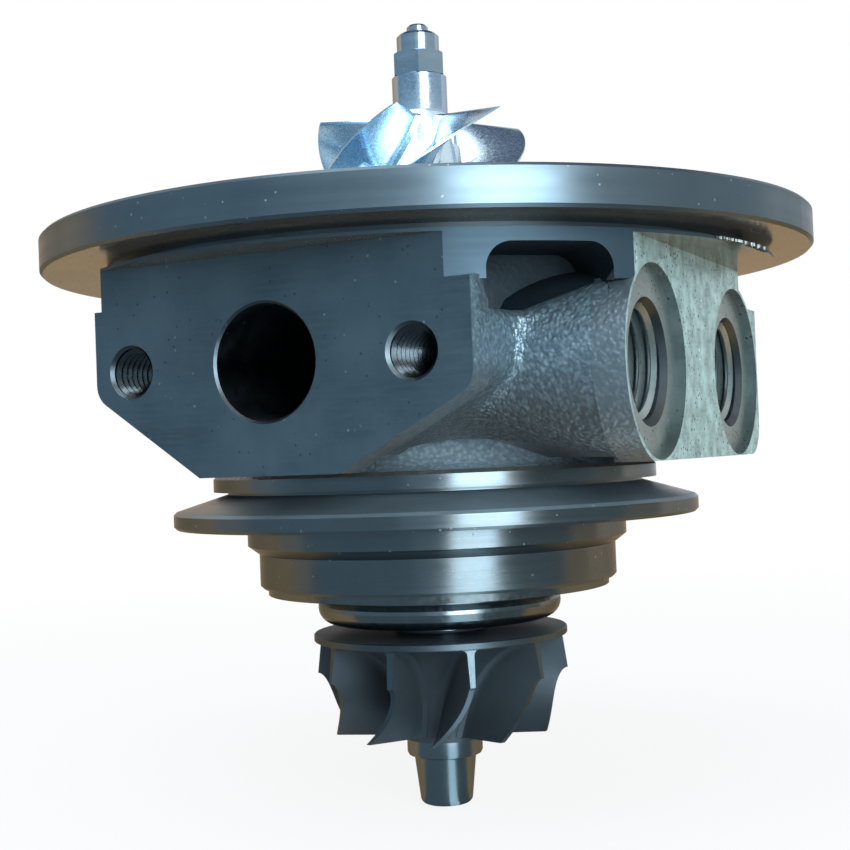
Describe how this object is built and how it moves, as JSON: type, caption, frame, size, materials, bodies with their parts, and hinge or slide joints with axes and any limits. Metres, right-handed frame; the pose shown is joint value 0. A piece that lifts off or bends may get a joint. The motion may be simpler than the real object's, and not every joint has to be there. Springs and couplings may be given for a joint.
{
  "type": "turbo cartridge",
  "caption": "Turbocharger cartridge: cast bearing housing with back disc and V-band flange, a compressor and a turbine wheel on one shaft, floating bushes, thrust pack and seals.",
  "frame": {"origin": "on the shaft's axis, at mid-thickness of the compressor back disc", "axes": "+Z along the shaft toward the compressor; the oil drain face looks along -Y and the coolant face about along +X"},
  "size_m": [0.108, 0.108, 0.1118],
  "materials": {
    "bearing_housing": "cast, milled and turned faces",
    "heat_shield": "pressed sheet",
    "rotor_shaft": "ground",
    "turbine_wheel": "investment cast, satin",
    "compressor_wheel": "milled",
    "shaft_nut": "turned",
    "compressor_side_bearing": "turned bronze",
    "turbine_side_bearing": "turned bronze",
    "bearing_clip_1": "ground",
    "bearing_clip_2": "ground",
    "bearing_clip_3": "ground",
    "bearing_clip_4": "ground",
    "thrust_washer": "ground",
    "thrust_bearing": "sintered bronze",
    "thrust_bearing_pins": "ground",
    "thrust_collar": "ground",
    "oil_deflector": "ground",
    "oil_flinger": "ground",
    "compressor_seal_ring": "ground",
    "seal_plate": "turned",
    "seal_plate_o_ring": "smooth",
    "seal_plate_snap_ring": "ground",
    "turbine_seal_ring": "ground"
  },
  "bodies": {
    "housing": {"bearing_housing": "bearing_housing", "heat_shield": "heat_shield", "bearing_clip_1": "bearing_clip_1", "bearing_clip_2": "bearing_clip_2", "bearing_clip_3": "bearing_clip_3", "bearing_clip_4": "bearing_clip_4", "thrust_bearing": "thrust_bearing", "thrust_bearing_pins": "thrust_bearing_pins", "oil_deflector": "oil_deflector", "compressor_seal_ring": "compressor_seal_ring", "seal_plate": "seal_plate", "seal_plate_o_ring": "seal_plate_o_ring", "seal_plate_snap_ring": "seal_plate_snap_ring", "turbine_seal_ring": "turbine_seal_ring"},
    "rotor": {"rotor_shaft": "rotor_shaft", "turbine_wheel": "turbine_wheel", "compressor_wheel": "compressor_wheel", "shaft_nut": "shaft_nut", "thrust_washer": "thrust_washer", "thrust_collar": "thrust_collar", "oil_flinger": "oil_flinger"},
    "compressor_bush": {"compressor_side_bearing": "compressor_side_bearing"},
    "turbine_bush": {"turbine_side_bearing": "turbine_side_bearing"}
  },
  "joints": [
    {"name": "rotor_spin", "type": "hinge", "parent": "housing", "child": "rotor", "pos_m": [0, 0, 0], "axis": [0, 0, 1], "continuous": true},
    {"name": "compressor_bush_spin", "type": "hinge", "parent": "housing", "child": "compressor_bush", "pos_m": [0, 0, -0.01735], "axis": [0, 0, 1], "continuous": true},
    {"name": "turbine_bush_spin", "type": "hinge", "parent": "housing", "child": "turbine_bush", "pos_m": [0, 0, -0.03695], "axis": [0, 0, 1], "continuous": true}
  ]
}
